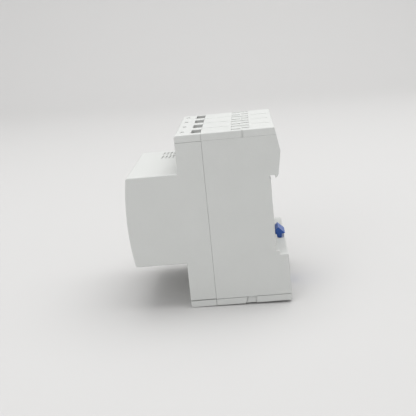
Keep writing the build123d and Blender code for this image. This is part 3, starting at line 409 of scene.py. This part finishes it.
# %% [markdown]
# ## Finishes on the frame's own pieces
# A frame piece whose shape is right only needs its finish, given through its material slots.
# %% Give the frame its finishes
GREY = ["base_housing", "front_cover", "top_entry_strip", "top_middle_strip", "top_rear_strip",
        "bottom_entry_strip", "bottom_middle_strip", "bottom_rear_strip"]
finishes = {
    **{name: housing_grey for name in GREY},
    "rail_latch": latch_blue,
    "contact_deck": deck_black,
    "coil_bobbin": bobbin_cream,
    "contact_carrier": carrier_brown,
    "label_plate": label_film,
    "indicator_window": window_clear,
    "indicator_flag": flag_red,
    "core_pad": pad_rubber,
    "fixed_core": stacked_sheet,
    "armature": stacked_sheet,
    "armature_pin": zinc_plate,
    "housing_screws": zinc_plate,
    "line_clamp_boxes": zinc_plate,
    "load_clamp_boxes": zinc_plate,
    "coil_clamp_boxes": zinc_plate,
    "line_contacts": rolled_copper,
    "load_contacts": rolled_copper,
    "coil_leads": rolled_copper,
    "shading_rings": rolled_copper,
    "coil_winding": enamelled_wire,
}
for n in range(1, 5):
    finishes[f"contact_bridge_{n}"] = rolled_copper
    for end in ("line", "load"):
        finishes[f"{end}_saddle_{n}"] = zinc_plate
for tag in ("a1", "a2"):
    finishes[f"coil_saddle_{tag}"] = zinc_plate


def finish_node(name, material):
    slots = nodes[name].material_slots
    if not slots:
        nodes[name].data.materials.append(material)
    for s in slots:
        s.material = material


for name, material in finishes.items():
    finish_node(name, material)
print("finished", len(finishes), "frame pieces")

# %% [markdown]
# ## Clamp screws
# Each terminal has a headless screw with a combined slot and cross. Its thread shows in the access
# hole when the screw is loose. One profile with a sawtooth side is spun round, which gives rings
# instead of a helix, and at a millimetre's pitch the eye can't tell. A fine grid closes the end,
# and its vertices are sunk where the slot and the cross lie, which makes the drive.
# %% Screw maker
DRIVE_SHARE = 0.9  # of the screw's radius, taken up by the drive
GROOVE_SHARE = 0.13  # half the width of the slot and of the cross
CROSS_SHARE = 0.62  # the reach of the cross, which is shorter than the slot
FLAT_SHARE = 0.55  # the flat end inside the domed edge
THREAD_SHARE = 0.315  # the thread's depth, of its pitch


def drive_recess(mesh, centre, radius, top, depth):
    """Makes a slot and a cross by sinking the vertices of the end's fine grid that lie in them."""
    for v in mesh.verts:
        x, z = (v.co.x - centre[0]) / MM, (v.co.z - centre[2]) / MM
        y = (v.co.y - centre[1]) / MM
        if y > top + 0.35 or math.hypot(x, z) > radius * DRIVE_SHARE:
            continue
        in_slot = abs(z) < radius * GROOVE_SHARE
        in_cross = abs(x) < radius * GROOVE_SHARE and abs(z) < radius * CROSS_SHARE
        if in_slot:
            v.co.y += depth * 0.6 * MM
        if in_cross:
            v.co.y += depth * (0.4 if in_slot else 0.75) * MM


def clamp_screw(name, body, centre, radius, length, pitch):
    mesh = bmesh.new()
    half = length / 2
    root = radius - THREAD_SHARE * pitch
    flat = radius * FLAT_SHARE
    profile = [(flat, -half), (radius * 0.9, -half + 0.06), (radius - 0.3, -half + 0.2)]
    along = -half + 0.45
    while along < half - 0.9:
        profile += [(radius, along), (radius, along + pitch * 0.12), (root, along + pitch * 0.5),
                    (root, along + pitch * 0.6)]
        along += pitch
    profile += [(radius - 0.5, half - 0.6), (flat, half), (0.0, half)]
    turned(mesh, profile, 36, centre)
    # The end is a fine grid of small squares trimmed to the circle, so a recess can be sunk in it.
    end_place = Matrix.Translation(Vector(centre) + Vector((0, -half * MM, 0)))
    grid_half = radius * (FLAT_SHARE + 0.01) * MM
    grid = bmesh.ops.create_grid(mesh, x_segments=40, y_segments=40, size=grid_half,
                                 matrix=end_place @ Matrix.Rotation(math.pi / 2, 4, "X"))
    outside = [v for v in grid["verts"]
               if math.hypot(v.co.x - centre[0], v.co.z - centre[2]) > grid_half]
    bmesh.ops.delete(mesh, geom=outside, context="VERTS")
    drive_recess(mesh, centre, radius, -half, flat)
    return make_piece(name, mesh, body, 35)


POWER_PITCH, COIL_PITCH = 1.0, 0.6
turning = [joint for joint in frame["joints"] if joint["name"].endswith("_turn")]
for joint in turning:
    node_name = joint["name"].removesuffix("_turn")
    low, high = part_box(node_name)
    centre = (low + high) / 2
    radius, length = (high.x - low.x) / 2 / MM, (high.y - low.y) / MM
    thread = COIL_PITCH if node_name.startswith("coil") else POWER_PITCH
    screw = clamp_screw(node_name + "_threaded", joint["child"], centre, radius, length, thread)
    screw.data.materials.append(zinc_plate)
    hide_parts(node_name)
print("made", len(turning), "screws")

# %% [markdown]
# ## Springs
# A spring is a ring of wire spun round an axis while it climbs, with its first and last turns
# closed up flat.
# %% Springs
def spring_piece(node_name, axis, wire, turns, body, fixed_low, pairs=1):
    """A spring in place of its frame node."""
    low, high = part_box(node_name)
    mesh = bmesh.new()
    along = axis.index(1)
    length = (high[along] - low[along]) / MM
    side = [i for i in range(3) if i != along]
    outer = min(high[i] - low[i] for i in side) / 2 / MM
    centres = []
    for k in range(pairs):
        middle = (low + high) / 2
        if pairs == 2:
            middle.x = (low.x + outer * MM) if k == 0 else (high.x - outer * MM)
        middle[along] = low[along]
        centres.append(middle)
    for middle in centres:
        wound(mesh, middle, axis, outer - wire, wire, length, turns)
    piece = make_piece(node_name + "_wound", mesh, body, 60)
    piece.data.materials.append(spring_wire)
    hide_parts(node_name)
    anchor = (low + high) / 2
    anchor[along] = low[along] if fixed_low else high[along]
    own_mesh(piece)


for n in range(1, 5):
    spring_piece(f"contact_spring_{n}", (0, 1, 0), 0.35, 5.5, "carrier",
                 True)
spring_piece("return_springs", (0, 1, 0), 0.35, 8.5, "housing", False,
             pairs=2)
spring_piece("latch_spring", (0, 0, 1), 0.25, 8.0, "housing", True)

# %% [markdown]
# ## The coil's winding
# The coil is about a thousand turns of fine wire, of which only the outer layer shows. That layer
# is a loop round the bobbin, extruded backwards in steps that swell and shrink, so that every turn
# of wire stands out as a ridge. Both ends are drawn in to the bobbin's tube, which a last step lines.
# %% Wound coil
TURNS, RIDGE, COIL_ROUND = 34, 0.05, 3.0
TUBE_HALF_X, TUBE_HALF_Z, TUBE_ROUND = 6.15, 6.65, 0.4


def rounded_loop(mesh, half_x, half_z, round_by, y, segments=6):
    """A closed loop of edges in millimetres: a rectangle with round corners, at one y."""
    loop = []
    for n, (side_x, side_z) in enumerate(((1, 1), (-1, 1), (-1, -1), (1, -1))):
        for k in range(segments + 1):
            angle = math.radians(90 * (n + k / segments))
            x = side_x * (half_x - round_by) + round_by * math.cos(angle)
            z = side_z * (half_z - round_by) + round_by * math.sin(angle)
            loop.append(mesh.verts.new((x * MM, y * MM, z * MM)))
    return [mesh.edges.new(pair) for pair in zip(loop, loop[1:] + loop[:1])]


def carry_loop(mesh, edges, along, scale=1.0):
    """Extrudes a loop along Y, scales the new one about the bobbin's axis and returns its edges."""
    made = bmesh.ops.extrude_edge_only(mesh, edges=edges)["geom"]
    bmesh.ops.scale(mesh, verts=verts_of(made), vec=(scale, 1, scale))
    shift(mesh, verts_of(made), (0, along * MM, 0))
    ring = set(verts_of(made))
    return [e for e in made if isinstance(e, bmesh.types.BMEdge) and set(e.verts) <= ring]


def draw_in(mesh, edges):
    """Extrudes the outer loop inwards, within its plane, to the outline of the bobbin's tube."""
    made = bmesh.ops.extrude_edge_only(mesh, edges=edges)["geom"]
    for v in verts_of(made):
        side_x, side_z = math.copysign(MM, v.co.x), math.copysign(MM, v.co.z)
        corner = Vector((side_x * (coil_half_x - COIL_ROUND), v.co.y, side_z * (coil_half_z - COIL_ROUND)))
        middle = Vector((side_x * (TUBE_HALF_X - TUBE_ROUND), v.co.y, side_z * (TUBE_HALF_Z - TUBE_ROUND)))
        v.co = middle + (v.co - corner) * TUBE_ROUND / COIL_ROUND
    ring = set(verts_of(made))
    return [e for e in made if isinstance(e, bmesh.types.BMEdge) and set(e.verts) <= ring]


coil_low, coil_high = (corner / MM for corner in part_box("coil_winding"))
coil_half_x, coil_half_z = coil_high.x - RIDGE, coil_high.z - RIDGE
coil_mesh = bmesh.new()
front_outer = rounded_loop(coil_mesh, coil_half_x, coil_half_z, COIL_ROUND, coil_low.y)
wire_pitch, swell = (coil_high.y - coil_low.y) / TURNS, 1 + RIDGE / coil_half_x
rear_outer = front_outer
for _ in range(TURNS):
    rear_outer = carry_loop(coil_mesh, rear_outer, wire_pitch / 2, swell)
    rear_outer = carry_loop(coil_mesh, rear_outer, wire_pitch / 2, 1 / swell)
draw_in(coil_mesh, rear_outer)
front_inner = draw_in(coil_mesh, front_outer)
carry_loop(coil_mesh, front_inner, coil_high.y - coil_low.y)
wound_coil = make_piece("coil_winding_turns", coil_mesh, "housing", 50)
wound_coil.data.materials.append(enamelled_wire)
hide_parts("coil_winding")

# %% [markdown]
# ## Contact tips
# The frame's copper pieces carry their tips as part of one solid. The tips are silver, so thin
# silver caps are spun over them, a hair proud of the copper.
# %% Silver caps
TIP_RADIUS = 2.4
CAP_PROUD = 0.005  # of the copper, so that closed contacts still clear each other


def tip_caps(name, body, points, rear, face):
    """Shallow domed discs at (x, z) points, standing on a face and pointing along Y."""
    mesh = bmesh.new()
    out = 1 if face > rear else -1
    profile = [(0.0, face + CAP_PROUD * out), (TIP_RADIUS * 0.6, face + 0.8 * CAP_PROUD * out),
               (TIP_RADIUS - 0.1, face - 0.02 * out), (TIP_RADIUS + 0.03, face - 0.12 * out),
               (TIP_RADIUS + 0.03, rear)]
    for x, z in points:
        turned(mesh, profile, 32, Vector((x * MM, 0, z * MM)))
    bmesh.ops.holes_fill(mesh, edges=[e for e in mesh.edges if len(e.link_faces) == 1], sides=0)
    piece = make_piece(name, mesh, body, 30)
    piece.data.materials.append(contact_silver)
    return piece


POLES = [-27.0, -9.0, 9.0, 27.0]
TIP_Z = 11.0
FIXED_CAP, BRIDGE_CAP = 0.9, 0.8  # the caps' depth over the fixed and the moving tips
tip_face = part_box("line_contacts")[0].y / MM
bridge_low, bridge_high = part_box("contact_bridge_1")
bridge_face = bridge_high.y / MM
tip_caps("line_contact_tips", "housing", [(x, TIP_Z) for x in POLES], tip_face + FIXED_CAP, tip_face)
tip_caps("load_contact_tips", "housing", [(x, -TIP_Z) for x in POLES], tip_face + FIXED_CAP, tip_face)
for n, x in enumerate(POLES, 1):
    tip_caps(f"bridge_{n}_tips", f"bridge_{n}", [(x, TIP_Z), (x, -TIP_Z)], bridge_face - BRIDGE_CAP,
             bridge_face)

# %% [markdown]
# ## The label's printing
# A contactor's label shows its circuit: four contacts that close together, and the coil that
# closes them. A print has no thickness to speak of, but a film of ink 0.02 mm proud of the label
# catches light as real ink does, so each stroke is a thin closed strip. The strokes are drawn flat
# and then laid on the curve of the nose, which is an arc about an axis along X.
# %% Label strokes
NOSE_HALF, NOSE_SAGITTA = 22.5, 1.8
INK_PROUD, INK_THICK = 0.02, 0.05
LINE, FINE_LINE, DASH = 0.35, 0.25, 0.2  # widths of the strokes
nose_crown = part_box("front_cover")[0].y / MM
nose_radius = (NOSE_HALF ** 2 + NOSE_SAGITTA ** 2) / (2 * NOSE_SAGITTA)


def nose_face(z):
    """The y of the nose's curved front at a height, in millimetres."""
    return nose_crown + nose_radius - math.sqrt(nose_radius ** 2 - z ** 2)


def stroke(mesh, start, end, width=LINE):
    """A flat printed line between two (x, z) points in millimetres, cut across every 2 mm."""
    a, b = Vector((start[0], 0, start[1])), Vector((end[0], 0, end[1]))
    length = (b - a).length
    along = (b - a).normalized()
    frame_axes = Matrix((along, Vector((0, 1, 0)).cross(along), Vector((0, 1, 0)))).transposed().to_4x4()
    place = Matrix.Scale(MM, 4) @ Matrix.Translation((a + b) / 2) @ frame_axes
    stretch = Matrix.Diagonal((length, width, 1, 1))
    bmesh.ops.create_grid(mesh, x_segments=max(1, round(length / 2)), y_segments=1, size=0.5,
                          matrix=place @ stretch)


def frame_strokes(mesh, low, high, width=LINE):
    """A printed rectangle between two (x, z) corners."""
    (x0, z0), (x1, z1) = low, high
    half = width / 2
    for pair in (((x0 - half, z0), (x1 + half, z0)), ((x0 - half, z1), (x1 + half, z1)),
                 ((x0, z0 + half), (x0, z1 - half)), ((x1, z0 + half), (x1, z1 - half))):
        stroke(mesh, *pair, width)


def lay_on_nose(mesh):
    """Gives flat strokes their thickness and bends them to the nose."""
    made = bmesh.ops.extrude_face_region(mesh, geom=mesh.faces[:], use_keep_orig=True)
    shift(mesh, verts_of(made["geom"]), (0, INK_THICK * MM, 0))
    for v in mesh.verts:
        v.co.y += (nose_face(v.co.z / MM) - INK_PROUD) * MM


circuit = bmesh.new()
CONTACT_TOP, CONTACT_LOW, LINK_Z = 17.2, 6.6, 11.4
CONTACT_COLUMNS = (-21.0, -7.0, 7.0, 21.0)
CONTACT_HALF = 1.9  # the open gap of a drawn contact, above and below the link
COIL_X, COIL_HALF_X, COIL_HALF_Z = -26.9, 1.7, 2.4
DASH_STEP, DASH_LENGTH = 1.95, 1.0
for x in CONTACT_COLUMNS:
    stroke(circuit, (x, CONTACT_TOP), (x, LINK_Z + CONTACT_HALF))
    stroke(circuit, (x, CONTACT_LOW), (x, LINK_Z - CONTACT_HALF))
    stroke(circuit, (x, LINK_Z - CONTACT_HALF), (x - 2.1, LINK_Z + 1.6))
for n in range(23):
    dash_start = -22.3 + n * DASH_STEP
    stroke(circuit, (dash_start, LINK_Z), (dash_start + DASH_LENGTH, LINK_Z), DASH)
frame_strokes(circuit, (COIL_X - COIL_HALF_X, LINK_Z - COIL_HALF_Z),
              (COIL_X + COIL_HALF_X, LINK_Z + COIL_HALF_Z))
stroke(circuit, (COIL_X, LINK_Z + COIL_HALF_Z + 0.1), (COIL_X, CONTACT_TOP))
stroke(circuit, (COIL_X, LINK_Z - COIL_HALF_Z - 0.1), (COIL_X, CONTACT_LOW))
stroke(circuit, (COIL_X + COIL_HALF_X + 0.1, LINK_Z), (-22.6, LINK_Z), DASH)
frame_strokes(circuit, (-5.6, -4.5), (5.6, 4.5), 0.3)
frame_strokes(circuit, (-29.9, -10.4), (29.9, 18.3), FINE_LINE)
lay_on_nose(circuit)
label_circuit = make_piece("label_circuit", circuit, "housing", 30)
label_circuit.data.materials.append(label_ink)

# %% [markdown]
# ## Terminal numbers
# Contacts are numbered alike on every contactor: odd above, even below, and A1 and A2 for the coil.
# The numbers are text turned into a mesh, laid on the nose like the strokes.
# %% Numbers
NUMBER_SIZE = 2.2
NUMBER_ASIDE, NUMBER_IN = 1.6, 1.2  # from the contact's line, and from its end
COIL_NUMBERS_X, COIL_SCREW_NUMBERS_Z = -24.6, -8.7


def number(text, x, z):
    """A short text as a flat mesh, upright and centred on (x, z)."""
    curve = bpy.data.curves.new("number", "FONT")
    curve.body = text
    curve.size = NUMBER_SIZE
    curve.align_x, curve.align_y = "CENTER", "CENTER"
    curve.resolution_u = 3
    holder = bpy.data.objects.new("number", curve)
    flat = bpy.data.meshes.new_from_object(holder)
    upright = Matrix.Scale(MM, 4) @ Matrix.Translation((x, 0, z)) @ Matrix.Rotation(math.pi / 2, 4, "X")
    flat.transform(upright)
    bpy.data.objects.remove(holder)
    bpy.data.curves.remove(curve)
    return flat


upper, lower = CONTACT_TOP - NUMBER_IN, CONTACT_LOW + NUMBER_IN
marks = [(str(2 * n + 1), x + NUMBER_ASIDE, upper) for n, x in enumerate(CONTACT_COLUMNS)]
marks += [(str(2 * n + 2), x + NUMBER_ASIDE, lower) for n, x in enumerate(CONTACT_COLUMNS)]
marks += [("A1", COIL_NUMBERS_X, upper), ("A2", COIL_NUMBERS_X, lower)]
marks += [("A1", POLES[0], COIL_SCREW_NUMBERS_Z), ("A2", POLES[1], COIL_SCREW_NUMBERS_Z)]
numbers = bmesh.new()
for text, x, z in marks:
    flat = number(text, x, z)
    numbers.from_mesh(flat)
    bpy.data.meshes.remove(flat)
bmesh.ops.remove_doubles(numbers, verts=numbers.verts, dist=1e-6)
lay_on_nose(numbers)
terminal_numbers = make_piece("terminal_numbers", numbers, "housing", 30)
terminal_numbers.data.materials.append(label_ink)

# %% [markdown]
# ## Floor and light
# The contactor stands on its front lower edge and on the latch's pull tab, so it leans forward by
# a degree or so, and the floor is laid under those two lines. Behind it the floor curves up.
# %% Floor
FLOOR_NEAR, FLOOR_FAR, FLOOR_HALF_WIDTH = 1.6, -0.9, 2.4  # metres
SWEEP_RADIUS, WALL_TOP = 0.5, 2.2
front_foot = Vector((0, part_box("bottom_entry_strip")[0].y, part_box("bottom_entry_strip")[0].z))
tab_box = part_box("rail_latch")
rear_foot = Vector((0, tab_box[1].y, tab_box[0].z))
lean = math.atan2(rear_foot.z - front_foot.z, rear_foot.y - front_foot.y)
print("lean in degrees:", round(math.degrees(lean), 2))

floor_mesh = bmesh.new()
edge_points = [(FLOOR_NEAR, 0.0), (FLOOR_FAR, 0.0)]
for degrees in range(10, 91, 10):
    angle = math.radians(degrees)
    edge_points.append((FLOOR_FAR - SWEEP_RADIUS * math.sin(angle), SWEEP_RADIUS * (1 - math.cos(angle))))
edge_points.append((FLOOR_FAR - SWEEP_RADIUS, WALL_TOP))
strip_verts = [floor_mesh.verts.new((x, -FLOOR_HALF_WIDTH, z)) for x, z in edge_points]
strip_edges = [floor_mesh.edges.new(p) for p in zip(strip_verts, strip_verts[1:])]
swept = bmesh.ops.extrude_edge_only(floor_mesh, edges=strip_edges)
shift(floor_mesh, verts_of(swept["geom"]), (0, 2 * FLOOR_HALF_WIDTH, 0))
bmesh.ops.recalc_face_normals(floor_mesh, faces=floor_mesh.faces)
bmesh.ops.transform(floor_mesh, verts=floor_mesh.verts,
                    matrix=Matrix.Translation(front_foot) @ Matrix.Rotation(lean, 4, "X"))
floor_data = bpy.data.meshes.new("floor")
floor_mesh.to_mesh(floor_data)
floor_mesh.free()
floor_data.shade_smooth()
floor = bpy.data.objects.new("floor", floor_data)
bpy.context.scene.collection.objects.link(floor)
paper = bpy.data.materials.new("pale_paper")
paper.use_nodes = True
paper.node_tree.nodes["Principled BSDF"].inputs["Base Color"].default_value = (0.55, 0.545, 0.538, 1)
paper.node_tree.nodes["Principled BSDF"].inputs["Roughness"].default_value = 0.9
paper.node_tree.nodes["Principled BSDF"].inputs["Specular IOR Level"].default_value = 0.1
floor_data.materials.append(paper)

# %% [markdown]
# ## Light
# Most of the light is an even white surround. One wide panel above and a little behind gives the
# bright top and leaves the near side in soft shade. A weak one opens the shadow on the near floor,
# and a third, further off, keeps the backdrop from going grey.
# %% Lights
world = bpy.data.worlds.new("surround")
bpy.context.scene.world = world
world.use_nodes = True
surround = world.node_tree.nodes["Background"]
surround.inputs["Color"].default_value = (0.985, 0.99, 1.0, 1)
surround.inputs["Strength"].default_value = 0.74


def panel(name, at, toward, size, power):
    light = bpy.data.lights.new(name, "AREA")
    light.shape = "RECTANGLE"
    light.size, light.size_y = size
    light.energy = power
    lamp = bpy.data.objects.new(name, light)
    bpy.context.scene.collection.objects.link(lamp)
    away = (Vector(at) - Vector(toward)).normalized()
    lamp.matrix_world = Matrix.Translation(Vector(at)) @ away.to_track_quat("Z", "Y").to_matrix().to_4x4()


panel("overhead", (-0.25, 0.25, 1.12), (0, 0, 0), (1.2, 1.2), 10.8)
panel("near_fill", (1.3, -0.6, 0.7), (0, 0, 0), (1.0, 1.0), 5.0)
panel("backdrop_wash", (-0.6, -0.3, 1.7), (-1.4, -0.3, 0.3), (0.7, 2.4), 7.0)
bpy.context.scene.view_settings.view_transform = "Standard"
